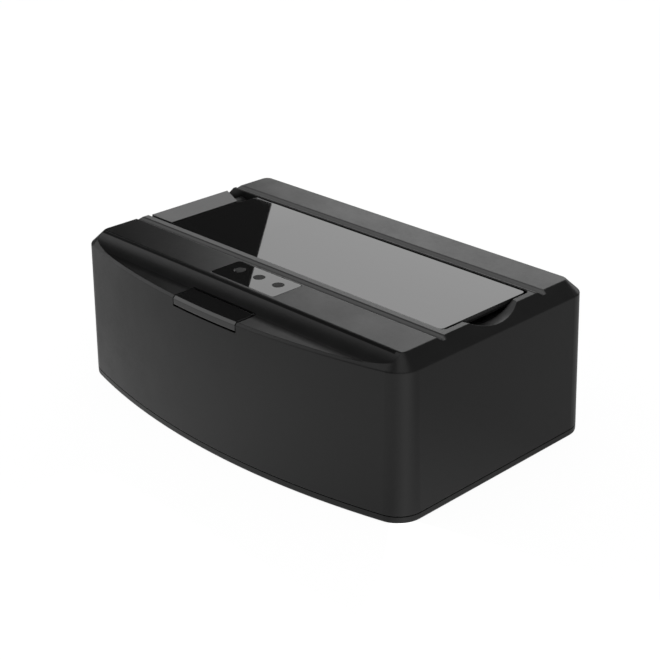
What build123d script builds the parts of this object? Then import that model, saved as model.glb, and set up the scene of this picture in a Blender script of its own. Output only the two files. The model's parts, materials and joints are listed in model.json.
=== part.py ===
"""Docking station that holds one 3.5 inch hard drive upright, in millimetres.

X runs to the right, the front faces -Y and Z points up. The origin is the middle of the
footprint, on the surface that the feet stand on. Every place is worked out from the sizes
below, starting from the drive and the connector that it plugs on to.
"""
import os
from math import atan2, cos, degrees, hypot, radians, sin, sqrt, tan

from build123d import *

os.makedirs("parts", exist_ok=True)

# One overrun serves all cuts, and one small gap the pieces that are set into each other
overrun = 1.0
fit_gap = 0.1
running_gap = 0.05
seat_gap = 0.02

# The drive, standing on its connector end
drive_width = 101.6
drive_thickness = 26.1
drive_end_play = 0.9
drive_face_play = 0.75
connector_from_drive_edge = 30.1
connector_from_drive_face = 3.5

# The shell
wall = 2.2
bevel_width = 4.3
bevel_height = 4.0
draft_angle = 1.4
front_radius = 250.0
front_reach = 13.6
front_corner_radius = 7.5
rear_corner_radius = 6.5
least_corner_radius = 0.6
shell_edge_radius = 0.5
shell_edge_steps = 2

# Heights, from the table up
foot_proud = 0.4
base_thickness = 2.1
base_rim_height = 2.4
board_standoff = 2.5
board_thickness = 1.6
connector_height = 9.9
bay_depth = 32.9

# The deck along Y, from the rear edge to the front edge
rear_band = 11.7
groove_width = 2.8
groove_depth = 0.9
groove_lip_radius = 0.5
rear_border = 0.9
side_ledge = 4.5
front_border = 2.0
window_rear_margin = 0.6
window_depth = 11.5
window_front_margin = 1.1

# The lid and its recess along X, from the left edge to the right edge
strip_width = 10.2
bay_left_margin = 4.1
end_ledge = 8.5
right_border = 1.8
lid_drop = 0.3
lid_gap = 0.45
lid_end_gap = 1.25
lid_thickness = 3.0
lid_seat_gap = 0.2
panel_thickness = 1.1
panel_strip_gap = 0.7
panel_inset = 0.15
recess_corner_radius = 1.8
ledge_thickness = 1.8
bay_lead = 0.8
tray_wall = 2.5
lid_rib_height = 1.2
lid_rib_width = 1.5
lid_rib_clearance = 1.4
lid_rib_count = 4
finger_bevel_run = 3.0
finger_bevel_skin = 0.7

# The hinge end of the lid
hinge_drop = 4.6
barrel_radius = 4.6
rear_barrel_radius = 3.0
hinge_pin_radius = 1.0
hinge_pin_grip = 2.2
trough_clearance = 0.4
trough_wall = 1.8
strip_front_gap = 1.15
strip_rear_cut_outer = 2.4
strip_rear_cut_inner = 6.9
panel_slant_length = 11.5
panel_slant_width = 1.6

# The scoop along the front edge and the finger notch in the right bevel
scoop_depth = 3.3
scoop_lip_radius = 1.0
notch_width = 20.3
notch_depth = 2.9
notch_tilt_angle = 12.0
notch_backing = 1.5

# The indicator window and its light guide
window_width = 27.3
window_thickness = 1.0
window_corner_radius = 1.0
light_pitch = 8.25
light_radius = 1.7
light_stem_radius = 1.5
light_setback = 2.8
light_count = 3
light_bridge_margin = 2.0
light_bridge_height = 2.5
light_gap = 0.2

# The eject button
button_width = 27.0
button_run = 7.5
button_gap = 0.35
button_lip = 2.5
button_lower_gap = 0.7
button_skin = 1.5
button_corner_radius = 1.0
button_travel = 5.0
skirt_thickness = 1.4
skirt_gap = 0.3
skirt_cover = 1.5
leg_width = 4.0
leg_thickness = 3.0
leg_spread = 10.0
guide_gap = 0.25
guide_wall = 1.6
guide_height = 10.0
guide_above_board = 18.0

# The eject lever
lever_front_arm = 25.0
lever_rear_arm = 21.0
lever_pivot_above_board = 4.4
lever_pivot_before_bay = 6.2
lever_arm_spread = 22.0
lever_arm_width = 5.0
lever_arm_thickness = 2.0
lever_bar_radius = 1.5
lever_hub_radius = 3.0
lever_pin_radius = 1.5
lever_side_gap = 0.4
lever_contact_gap = 0.15
pad_length = 4.0
pad_slot_gap = 0.6
bracket_thickness = 3.5
bracket_half_depth = 3.5
pad_edge_radius = 0.8

# The drive well
well_wall = 1.6
well_floor = 1.5
tab_drop = 4.2
tab_thickness = 2.0
tab_reach = 12.6
tab_width = 9.0
tab_end_inset = 9.7
well_boss_radius = 3.2
connector_slot_gap = 0.5
tab_corner_radius = 2.0
well_side_gap = 0.3

# The SATA connector
connector_length = 44.0
connector_thickness = 6.0
connector_post_length = 3.0
connector_post_height = 3.0
slot_depth = 6.2
slot_thickness = 2.4
signal_slot_length = 10.4
power_slot_length = 20.6
slot_spacing = 2.6
slot_key_length = 1.2
slot_key_thickness = 1.1
contact_pitch = 1.27
contact_width = 0.8
contact_thickness = 0.4
contact_height = 5.4
signal_contact_count = 7
power_contact_count = 15

# Screws, bosses and feet
boss_radius = 3.4
boss_rib_thickness = 1.5
boss_rib_clearance = 0.5
corner_screw_side_inset = 8.4
corner_screw_front_inset = 18.5
corner_screw_rear_inset = 11.5
base_post_radius = 4.2
base_post_height = 2.3
screw_radius = 1.2
screw_clearance = 0.2
screw_head_radius = 2.6
screw_head_height = 1.6
screw_head_gap = 0.3
corner_screw_length = 11.0
small_screw_length = 5.0
socket_radius = 1.1
socket_depth = 0.9
foot_radius = 5.0
foot_recess = 1.1
foot_side_inset = 18.4
foot_inset_y = 17.0
foot_edge = 0.4

# The base cover
base_edge_radius = 0.6
base_edge_steps = 3
parting_groove_height = 0.3
parting_groove_depth = 0.4
lip_gap = 0.2
lip_thickness = 1.4
lip_height = 2.4
standoff_radius = 3.0

# The main board and what stands on it
board_side_gap = 15.2
board_front_margin = 0.8
board_rear_gap = 2.4
board_tongue_width = 28.0
board_tongue_margin = 6.0
board_screw_side_inset = 5.0
board_screw_front_inset = 5.0
board_screw_rear_inset = 6.0
led_length = 3.2
led_width = 1.6
led_height = 0.8
chip_size = 9.0
chip_height = 1.1
chip_lead_count = 8
chip_lead_width = 0.3
chip_lead_length = 1.0
chip_lead_height = 0.5
chip_edge = 0.4
chip_side_inset = 18.0
chip_from_rear = 26.0
crystal_length = 5.0
crystal_width = 3.2
crystal_height = 1.2
crystal_offset = 9.5
regulator_length = 6.5
regulator_width = 3.5
regulator_height = 1.6
regulator_tab = 1.5
regulator_gap = 1.2
regulator_from_rear = 20.0
inductor_size = 7.0
inductor_height = 3.4
inductor_core_radius = 2.6
inductor_core_proud = 0.3
inductor_corner_radius = 1.2
inductor_side_inset = 16.0
inductor_from_rear = 36.0
capacitor_radius = 3.15
capacitor_height = 7.7
capacitor_base = 0.9
capacitor_crown = 0.5
capacitor_spacing = 8.0
capacitor_count = 2
capacitor_x = 8.3
capacitor_from_rear = 6.0

# The sockets and the switch in the rear wall
port_setback = 1.2
port_gap = 0.4
usb_x = -8.0
usb_width = 12.2
usb_height = 12.4
usb_depth = 17.5
usb_mouth_width = 8.6
usb_mouth_height = 7.9
usb_mouth_bevel = 1.6
usb_upper_width = 5.8
usb_upper_height = 2.9
usb_mouth_lift = 0.8
usb_cavity_depth = 11.0
usb_tongue_width = 5.6
usb_tongue_height = 3.2
usb_tongue_length = 9.0
usb_upper_tongue_width = 4.2
usb_upper_tongue_height = 1.0
usb_edge_radius = 0.5
jack_side_inset = 18.0
jack_width = 9.0
jack_height = 11.0
jack_depth = 14.0
jack_axis_height = 6.4
jack_bore_radius = 3.15
jack_bore_depth = 9.5
jack_pin_radius = 1.05
jack_pin_inset = 0.8
jack_nose_radius = 4.0
jack_nose_length = 1.6
switch_x = 26.0
switch_width = 15.0
switch_height = 10.6
switch_depth = 12.0
switch_frame = 1.4
switch_pocket_depth = 9.0
rocker_clearance = 0.8
rocker_side_gap = 0.3
rocker_pivot_depth = 4.2
rocker_depth = 7.4
rocker_shoulder = 2.2
rocker_heel_width = 6.0
rocker_tilt = 16.0
rocker_pin_radius = 0.8
rocker_pin_grip = 1.0
rocker_edge_radius = 0.4

# Heights worked out
base_top = foot_proud + base_thickness
parting_z = foot_proud + base_rim_height
board_bottom = base_top + board_standoff
board_top = board_bottom + board_thickness
bay_floor = board_top + connector_height
deck_z = bay_floor + bay_depth
bevel_z = deck_z - bevel_height
bevel_length = hypot(bevel_width, bevel_height)
growth = (bevel_z - parting_z) * tan(radians(draft_angle))
lid_top = deck_z - lid_drop
lid_bottom = lid_top - lid_thickness
plate_top = lid_top - panel_thickness
ledge_z = lid_bottom - lid_seat_gap
ledge_bottom = ledge_z - ledge_thickness
hinge_z = lid_top - hinge_drop

# The deck worked out along X
strip_corner = hypot(strip_width / 2, hinge_drop)
trough_radius = strip_corner + trough_clearance
bay_width = drive_width + 2 * drive_end_play
deck_width = strip_width / 2 + trough_radius + bay_left_margin + bay_width + end_ledge + right_border
deck_left = -deck_width / 2
deck_right = deck_width / 2
hinge_x = deck_left + strip_width / 2
bay_left = hinge_x + trough_radius + bay_left_margin
bay_right = bay_left + bay_width
recess_right = deck_right - right_border
lid_right = recess_right - lid_end_gap
shell_half_width = deck_right + bevel_width

# The deck worked out along Y
bay_thickness = drive_thickness + 2 * drive_face_play
recess_width = bay_thickness + 2 * side_ledge
window_band = window_rear_margin + window_depth + window_front_margin
deck_depth = rear_band + 2 * groove_width + rear_border + recess_width + front_border + window_band
shell_depth = deck_depth + bevel_width + front_reach + 2 * growth
deck_rear = shell_depth / 2 - growth - bevel_width
deck_front = deck_rear - deck_depth
shell_front = deck_front - front_reach
front_centre = shell_front + front_radius
recess_rear = deck_rear - rear_band - groove_width - rear_border
recess_front = recess_rear - recess_width
rear_groove = deck_rear - rear_band - groove_width / 2
front_groove = recess_front - front_border - groove_width / 2
bay_front = recess_front + side_ledge
bay_rear = recess_rear - side_ledge
bay_middle = (bay_front + bay_rear) / 2
lid_front = recess_front + lid_gap
lid_rear = recess_rear - lid_gap
window_middle = deck_front + window_front_margin + window_depth / 2
light_y = deck_front + window_front_margin + window_depth - light_setback - light_radius

# The scoop's arc, as steep as the bevel at the deck and level where it meets the front strip
scoop_floor = deck_z - scoop_depth
scoop_radius = scoop_depth * bevel_length / (bevel_length - bevel_width)
scoop_run = scoop_radius * bevel_height / bevel_length
scoop_centre_y = deck_front - scoop_run
scoop_centre_z = scoop_floor + scoop_radius

# The eject train worked out
lever_y = bay_front - lever_pivot_before_bay
lever_z = board_top + lever_pivot_above_board
lever_rest_tilt = degrees(button_travel / lever_front_arm) / 2
lever_bar_y = lever_y - lever_front_arm * cos(radians(lever_rest_tilt))
lever_bar_z = lever_z - lever_front_arm * sin(radians(lever_rest_tilt))
pad_lift = 2 * lever_rear_arm * sin(radians(lever_rest_tilt))
pad_height = (bay_floor + pad_lift / 2 - lever_z) / cos(radians(lever_rest_tilt))
pad_y = lever_y + lever_rear_arm
bracket_inner = lever_arm_spread + lever_arm_width / 2 + lever_side_gap
button_rear = shell_front + button_run
lip_bottom = scoop_floor - button_lip
notch_bottom = lip_bottom - button_lower_gap
skirt_bottom = notch_bottom - button_travel - skirt_cover
button_bow = button_width**2 / (8 * front_radius)
skirt_front = shell_front + button_bow + wall + skirt_gap
leg_bottom = lever_bar_z + lever_bar_radius + lever_contact_gap
guide_bottom = board_top + guide_above_board

# The connector and the board worked out
connector_x = bay_left + drive_end_play + connector_from_drive_edge
connector_y = bay_rear - drive_face_play - connector_from_drive_face
slots_length = signal_slot_length + slot_spacing + power_slot_length
power_x = connector_x - slots_length / 2 + power_slot_length / 2
signal_x = connector_x + slots_length / 2 - signal_slot_length / 2
board_rear = deck_rear + bevel_width - wall - board_rear_gap
board_front = lever_y + lever_hub_radius + board_front_margin
tongue_front = light_y - board_tongue_margin
board_screw_front = board_front + board_screw_front_inset
board_screw_rear = board_rear - board_screw_rear_inset
corner_screw_front = shell_front + corner_screw_front_inset
corner_screw_rear = deck_rear + bevel_width - corner_screw_rear_inset
port_face = deck_rear + bevel_width - port_setback
corner_screw_x = shell_half_width - corner_screw_side_inset
corner_screw_places = [
    (side * corner_screw_x, y) for side in (-1, 1) for y in (corner_screw_front, corner_screw_rear)
]
board_half_width = shell_half_width - wall - board_side_gap
board_screw_x = board_half_width - board_screw_side_inset
jack_x = jack_side_inset - board_half_width
board_screw_places = [
    (side * board_screw_x, y) for side in (-1, 1) for y in (board_screw_front, board_screw_rear)
]
tab_front = bay_front - well_wall - tab_reach
tab_rear = bay_rear + well_wall + tab_reach
tab_top = ledge_bottom - tab_drop
tab_middle = (bay_left + bay_right) / 2
well_bottom = bay_floor - well_floor
notch_inner = bay_right + well_wall + well_side_gap + notch_backing
notch_floor = deck_z - notch_depth - (deck_right - notch_inner) * tan(radians(notch_tilt_angle))
notch_backing_half = notch_width / 2 + notch_backing
recess_middle = (recess_front + recess_rear) / 2
boss_hole_radius = screw_radius + seat_gap
tab_half_spacing = bay_width / 2 - tab_end_inset
well_screw_places = [
    (tab_middle + side * tab_half_spacing, y)
    for side in (-1, 1)
    for y in (tab_front + tab_width / 2, tab_rear - tab_width / 2)
]
foot_x = shell_half_width - foot_side_inset
foot_places = [
    (side * foot_x, y)
    for side in (-1, 1)
    for y in (shell_front + foot_inset_y, deck_rear + bevel_width - foot_inset_y)
]
light_places = [((index - (light_count - 1) / 2) * light_pitch, light_y) for index in range(light_count)]


def shell_outline(height, inset):
    """Plan of the shell at one height, drawn in by inset all round; the front is an arc."""
    half_width = shell_half_width - inset
    rear = deck_rear + bevel_width - inset
    arc_radius = front_radius - inset
    corner = front_centre - sqrt(arc_radius**2 - half_width**2)
    front_fillet = max(front_corner_radius - inset, least_corner_radius)
    rear_fillet = max(rear_corner_radius - inset, least_corner_radius)
    with BuildSketch(Plane.XY.offset(height)) as outline:
        with BuildLine():
            Polyline((-half_width, corner), (-half_width, rear), (half_width, rear), (half_width, corner))
            ThreePointArc((half_width, corner), (0, front_centre - arc_radius), (-half_width, corner))
        make_face()
        fillet(outline.vertices().group_by(Axis.Y)[-1], rear_fillet)
        fillet(outline.vertices().group_by(Axis.Y)[0], front_fillet)
    return outline.sketch


def shell_form(levels):
    """Solid through outlines, each level a height and an inset, with straight walls between."""
    with BuildPart() as form:
        for (low_height, low_inset), (high_height, high_inset) in zip(levels, levels[1:]):
            low = shell_outline(low_height, low_inset)
            high = shell_outline(high_height, high_inset)
            loft(sections=[low, high], ruled=True)
    return form.part


def block(x_span, y_span, z_span):
    """Box between two limits on each axis, as a free-standing part."""
    low = Vector(x_span[0], y_span[0], z_span[0])
    high = Vector(x_span[1], y_span[1], z_span[1])
    size = high - low
    with BuildPart() as piece:
        with Locations((low + high) / 2):
            Box(size.X, size.Y, size.Z)
    return piece.part


def groove_cut(middle):
    """V groove with rounded lips across the whole deck."""
    half = groove_width / 2
    reach = half + groove_lip_radius / 2
    with BuildPart() as cut:
        with BuildSketch(Plane.YZ) as section:
            with BuildLine():
                Polyline(
                    (middle - reach, deck_z),
                    (middle - half, deck_z),
                    (middle, deck_z - groove_depth),
                    (middle + half, deck_z),
                    (middle + reach, deck_z),
                    (middle + reach, deck_z + overrun),
                    (middle - reach, deck_z + overrun),
                    close=True,
                )
            make_face()
            corners = section.vertices()
            lips = [corners.sort_by_distance((middle + side * half, deck_z))[0] for side in (-1, 1)]
            fillet(lips, groove_lip_radius)
        extrude(amount=shell_half_width + overrun, both=True)
    return cut.part


def scoop_cut():
    """The air above the scoop: a rounded lip at the deck, an arc, then a level strip."""
    lip_y = deck_front + scoop_lip_radius
    middle_y = scoop_centre_y + scoop_run / 2
    middle_z = scoop_centre_z - sqrt(scoop_radius**2 - (scoop_run / 2) ** 2)
    front = shell_front - overrun
    with BuildPart() as cut:
        with BuildSketch(Plane.YZ) as section:
            with BuildLine():
                ThreePointArc((deck_front, deck_z), (middle_y, middle_z), (scoop_centre_y, scoop_floor))
                Polyline(
                    (scoop_centre_y, scoop_floor),
                    (front, scoop_floor),
                    (front, deck_z + overrun),
                    (lip_y, deck_z + overrun),
                    (lip_y, deck_z),
                    (deck_front, deck_z),
                )
            make_face()
            fillet(section.vertices().sort_by_distance((deck_front, deck_z))[0], scoop_lip_radius)
        extrude(amount=shell_half_width + overrun, both=True)
    return cut.part


def scoop_backing():
    """The skin under the scoop, one wall thick, from the deck to the front wall."""
    outer_radius = scoop_radius + wall
    turn = scoop_run / scoop_radius
    start_y = scoop_centre_y + outer_radius * turn
    start_z = scoop_centre_z - outer_radius * sqrt(1 - turn**2)
    half_turn = turn / 2
    middle_y = scoop_centre_y + outer_radius * half_turn
    middle_z = scoop_centre_z - outer_radius * sqrt(1 - half_turn**2)
    low = scoop_floor - wall
    with BuildPart() as skin:
        with BuildSketch(Plane.YZ):
            with BuildLine():
                ThreePointArc((start_y, start_z), (middle_y, middle_z), (scoop_centre_y, low))
                Polyline(
                    (scoop_centre_y, low),
                    (shell_front, low),
                    (shell_front, deck_z),
                    (start_y + wall, deck_z),
                    (start_y + wall, deck_z - wall),
                    (start_y, start_z),
                )
            make_face()
        extrude(amount=shell_half_width, both=True)
    return skin.part


def notch_cut():
    """Finger notch: a round scoop that dives from the right bevel to under the lid's end."""
    half = notch_width / 2
    tilt = radians(notch_tilt_angle)
    across_depth = notch_depth * cos(tilt)
    radius = (half**2 + across_depth**2) / (2 * across_depth)
    dive = Vector(-cos(tilt), 0, -sin(tilt))
    lowest = Vector(deck_right, recess_middle, deck_z - notch_depth)
    centre = lowest + Vector(-sin(tilt), 0, cos(tilt)) * radius
    reach = bevel_width + end_ledge + notch_depth
    with BuildPart() as cut:
        with BuildSketch(Plane(origin=centre - dive * reach, x_dir=(0, 1, 0), z_dir=dive)):
            Circle(radius)
        extrude(amount=2 * reach)
        keep_x = (notch_inner, shell_half_width + overrun)
        keep_y = (recess_front, recess_rear)
        keep_z = (notch_floor - overrun, deck_z + overrun)
        add(block(keep_x, keep_y, keep_z), mode=Mode.INTERSECT)
    return cut.part


def rounded_edge(height, inset, low_angle, high_angle):
    """Levels round one edge of the shell, between slopes given in degrees from level."""
    reach = shell_edge_radius * tan(radians(low_angle - high_angle) / 2)
    centre_height = height - reach * sin(radians(low_angle)) - shell_edge_radius * cos(radians(low_angle))
    centre_inset = inset - reach * cos(radians(low_angle)) + shell_edge_radius * sin(radians(low_angle))
    turns = [
        radians(low_angle + (high_angle - low_angle) * step / shell_edge_steps)
        for step in range(shell_edge_steps + 1)
    ]
    return [
        (centre_height + shell_edge_radius * cos(turn), centre_inset - shell_edge_radius * sin(turn))
        for turn in turns
    ]


bevel_angle = degrees(atan2(bevel_height, bevel_width))
shoulder = rounded_edge(bevel_z, 0, 90, bevel_angle)
deck_edge = rounded_edge(deck_z, bevel_width, bevel_angle, 0)
outer_form = shell_form([(parting_z, -growth), *shoulder, *deck_edge])
inner_bevel_z = bevel_z - wall * (bevel_length - bevel_height) / bevel_width
inner_top = deck_z - wall
inner_top_inset = wall + (inner_top - inner_bevel_z) * bevel_width / bevel_height
cavity_form = shell_form([(parting_z, wall - growth), (inner_bevel_z, wall), (inner_top, inner_top_inset)])

# Upper housing
with BuildPart() as housing_blocks:
    tray_x = (-shell_half_width, recess_right + tray_wall)
    tray_y = (recess_front - tray_wall, recess_rear + tray_wall)
    add(block(tray_x, tray_y, (ledge_bottom, deck_z)))
    trough_x = (-shell_half_width, hinge_x + trough_radius + trough_wall)
    add(block(trough_x, tray_y, (hinge_z - trough_radius - trough_wall, deck_z)))
    notch_x = (notch_inner - notch_backing, shell_half_width)
    notch_y = (recess_middle - notch_backing_half, recess_middle + notch_backing_half)
    add(block(notch_x, notch_y, (notch_floor - notch_backing, deck_z)))
    add(scoop_backing())
    with BuildSketch(Plane.XY.offset(base_top + base_post_height)):
        with Locations(corner_screw_places):
            Circle(boss_radius)
    extrude(amount=inner_top - base_top - base_post_height)
    rib_bottom = parting_z + lip_height + boss_rib_clearance
    for x, y in corner_screw_places:
        outward = shell_half_width if x > 0 else -shell_half_width
        rib_y = (y - boss_rib_thickness / 2, y + boss_rib_thickness / 2)
        add(block((min(x, outward), max(x, outward)), rib_y, (rib_bottom, inner_top)))
    with BuildSketch(Plane.XY.offset(tab_top)):
        with Locations(well_screw_places):
            Circle(well_boss_radius)
    extrude(amount=inner_top - tab_top)
    guide_half = leg_thickness / 2 + guide_gap + guide_wall
    for side in (-1, 1):
        guide_x = (
            side * leg_spread - leg_width / 2 - guide_gap - guide_wall,
            side * leg_spread + leg_width / 2 + guide_gap + guide_wall,
        )
        guide_y = (shell_front, lever_bar_y + guide_half)
        add(block(guide_x, guide_y, (guide_bottom, guide_bottom + guide_height)))
    add(outer_form, mode=Mode.INTERSECT)

with BuildPart() as upper_housing:
    add(outer_form)
    add(cavity_form, mode=Mode.SUBTRACT)
    add(housing_blocks.part)
    # Recess that the lid drops into, open at its left end
    recess_left = -shell_half_width - overrun
    with BuildSketch(Plane.XY.offset(ledge_z)) as recess:
        with BuildLine():
            Polyline(
                (recess_left, recess_front),
                (recess_right, recess_front),
                (recess_right, recess_rear),
                (recess_left, recess_rear),
                close=True,
            )
        make_face()
        fillet(recess.vertices().group_by(Axis.X)[-1], recess_corner_radius)
    extrude(amount=deck_z - ledge_z + overrun, mode=Mode.SUBTRACT)
    # Trough that the lid's hinge end turns in
    with BuildSketch(Plane.XZ.offset(-recess_rear)):
        with Locations((hinge_x, hinge_z)):
            Circle(trough_radius)
    extrude(amount=recess_width, mode=Mode.SUBTRACT)
    bay_z = (ledge_bottom - overrun, ledge_z + overrun)
    add(block((bay_left, bay_right), (bay_front, bay_rear), bay_z), mode=Mode.SUBTRACT)
    # Lead-in round the mouth of the bay
    for height, lead in ((ledge_z - bay_lead, 0), (ledge_z, bay_lead)):
        with BuildSketch(Plane.XY.offset(height)):
            with Locations(((bay_left + bay_right) / 2, bay_middle)):
                Rectangle(bay_width + 2 * lead, bay_thickness + 2 * lead)
    loft(ruled=True, mode=Mode.SUBTRACT)
    add(groove_cut(rear_groove), mode=Mode.SUBTRACT)
    add(groove_cut(front_groove), mode=Mode.SUBTRACT)
    add(scoop_cut(), mode=Mode.SUBTRACT)
    add(notch_cut(), mode=Mode.SUBTRACT)
    # Seat of the indicator window and the holes for its light guide
    with BuildSketch(Plane.XY.offset(deck_z - window_thickness)):
        with Locations((0, window_middle)):
            seat_size = (window_width + 2 * fit_gap, window_depth + 2 * fit_gap)
            RectangleRounded(*seat_size, window_corner_radius + fit_gap)
    extrude(amount=window_thickness + overrun, mode=Mode.SUBTRACT)
    with BuildSketch(Plane.XY.offset(deck_z - wall - overrun)):
        with Locations(light_places):
            Circle(light_radius + fit_gap)
    extrude(amount=wall + 2 * overrun, mode=Mode.SUBTRACT)
    # Opening for the eject button, through the scoop and the top of the front wall
    opening_half = button_width / 2 + button_gap
    opening_length = button_run + button_gap + overrun
    with BuildSketch(Plane.XY.offset(notch_bottom)) as opening:
        with Locations((0, shell_front - overrun + opening_length / 2)):
            Rectangle(2 * opening_half, opening_length)
        fillet(opening.vertices().group_by(Axis.Y)[-1], button_corner_radius + button_gap)
    extrude(amount=deck_z - notch_bottom, mode=Mode.SUBTRACT)
    # Guides for the button's legs
    leg_hole = (leg_width + 2 * guide_gap, leg_thickness + 2 * guide_gap)
    with BuildSketch(Plane.XY.offset(guide_bottom - overrun)):
        with Locations((-leg_spread, lever_bar_y), (leg_spread, lever_bar_y)):
            Rectangle(*leg_hole)
    extrude(amount=guide_height + 2 * overrun, mode=Mode.SUBTRACT)
    # Screw holes in the corner bosses and in the bosses that carry the drive well
    with BuildSketch(Plane.XY.offset(base_top + base_post_height)):
        with Locations(corner_screw_places):
            Circle(boss_hole_radius)
    extrude(amount=corner_screw_length, mode=Mode.SUBTRACT)
    with BuildSketch(Plane.XY.offset(tab_top)):
        with Locations(well_screw_places):
            Circle(boss_hole_radius)
    extrude(amount=small_screw_length, mode=Mode.SUBTRACT)
    # Bore for the lid's hinge pin, blind in both cheeks of the recess
    with BuildSketch(Plane.XZ.offset(-recess_rear - hinge_pin_grip)):
        with Locations((hinge_x, hinge_z)):
            Circle(hinge_pin_radius + seat_gap)
    extrude(amount=recess_width + 2 * hinge_pin_grip, mode=Mode.SUBTRACT)
    # Cut-outs in the rear wall
    with BuildSketch(Plane.XZ.offset(-port_face - port_setback - growth - overrun)):
        with Locations((usb_x, board_top + usb_height / 2)):
            Rectangle(usb_width + 2 * port_gap, usb_height + 2 * port_gap)
        with Locations((switch_x, board_top + switch_height / 2)):
            Rectangle(switch_width + 2 * port_gap, switch_height + 2 * port_gap)
        with Locations((jack_x, board_top + jack_axis_height)):
            Circle(jack_nose_radius + port_gap)
    extrude(amount=wall + port_setback + 2 * growth + 2 * overrun, mode=Mode.SUBTRACT)

# Base cover: a shallow tray whose rim meets the housing at the parting line
with BuildPart() as base_cover:
    groove_z = parting_z - parting_groove_height
    edge_turns = [radians(90) * step / base_edge_steps for step in range(base_edge_steps + 1)]
    edge_levels = [
        (foot_proud + base_edge_radius * (1 - cos(turn)), base_edge_radius * (1 - sin(turn)) - growth)
        for turn in edge_turns
    ]
    add(shell_form(edge_levels))
    edge_top = foot_proud + base_edge_radius
    extrude(shell_outline(edge_top, -growth), amount=groove_z - edge_top, dir=(0, 0, 1))
    groove_floor = shell_outline(groove_z, parting_groove_depth - growth)
    extrude(groove_floor, amount=parting_groove_height, dir=(0, 0, 1))
    rim_inset = wall + lip_gap + lip_thickness - growth
    extrude(shell_outline(base_top, rim_inset), amount=base_rim_height, dir=(0, 0, 1), mode=Mode.SUBTRACT)
    lip = shell_outline(parting_z, wall + lip_gap - growth) - shell_outline(parting_z, rim_inset)
    extrude(lip, amount=lip_height, dir=(0, 0, 1))
    with BuildSketch(Plane.XY.offset(base_top)):
        with Locations(board_screw_places):
            Circle(standoff_radius)
    extrude(amount=board_standoff)
    with BuildSketch(Plane.XY.offset(base_top)):
        with Locations(corner_screw_places):
            Circle(base_post_radius)
    extrude(amount=base_post_height)
    bracket_y = (lever_y - bracket_half_depth, lever_y + bracket_half_depth)
    bracket_z = (base_top, lever_z + bracket_half_depth)
    for side in (-1, 1):
        inner = side * bracket_inner
        outer = side * (bracket_inner + bracket_thickness)
        add(block((min(inner, outer), max(inner, outer)), bracket_y, bracket_z))
    with BuildSketch(Plane.YZ):
        with Locations((lever_y, lever_z)):
            Circle(lever_pin_radius + seat_gap)
    extrude(amount=bracket_inner + bracket_thickness, both=True, mode=Mode.SUBTRACT)
    # Screw holes with sunk heads, board screw holes and the seats of the feet
    with BuildSketch(Plane.XY.offset(foot_proud)):
        with Locations(corner_screw_places):
            Circle(screw_radius + screw_clearance)
    extrude(amount=base_thickness + base_post_height, mode=Mode.SUBTRACT)
    with BuildSketch(Plane.XY.offset(foot_proud)):
        with Locations(corner_screw_places):
            Circle(screw_head_radius + screw_clearance)
    extrude(amount=screw_head_height + screw_head_gap, mode=Mode.SUBTRACT)
    with BuildSketch(Plane.XY.offset(board_bottom)):
        with Locations(board_screw_places):
            Circle(boss_hole_radius)
    extrude(amount=-board_standoff, mode=Mode.SUBTRACT)
    with BuildSketch(Plane.XY.offset(foot_proud)):
        with Locations(foot_places):
            Circle(foot_radius + fit_gap)
    extrude(amount=foot_recess, mode=Mode.SUBTRACT)

with BuildPart() as rubber_feet:
    with BuildSketch():
        with Locations(foot_places):
            Circle(foot_radius)
    extrude(amount=foot_proud + foot_recess)
    chamfer(rubber_feet.edges().group_by(Axis.Z)[0], foot_edge)


def screws(places, head_z, length, direction):
    """Pan head screws with a socket, heads at head_z and shanks running along direction."""
    with BuildPart() as group:
        plane = Plane(origin=(0, 0, head_z), x_dir=(1, 0, 0), z_dir=(0, 0, direction))
        spots = [(x, y * direction) for x, y in places]
        with BuildSketch(plane):
            with Locations(spots):
                Circle(screw_radius)
        extrude(amount=length)
        with BuildSketch(plane):
            with Locations(spots):
                Circle(screw_head_radius)
        extrude(amount=-screw_head_height)
        with BuildSketch(plane.offset(-screw_head_height)):
            with Locations(spots):
                RegularPolygon(socket_radius, 6)
        extrude(amount=socket_depth, mode=Mode.SUBTRACT)
    return group.part


with BuildPart() as base_screws:
    add(screws(corner_screw_places, foot_proud + screw_head_gap + screw_head_height, corner_screw_length, 1))

with BuildPart() as board_screws:
    add(screws(board_screw_places, board_top, small_screw_length - board_standoff, -1))

with BuildPart() as well_screws:
    add(screws(well_screw_places, tab_top - tab_thickness, small_screw_length, 1))

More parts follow.
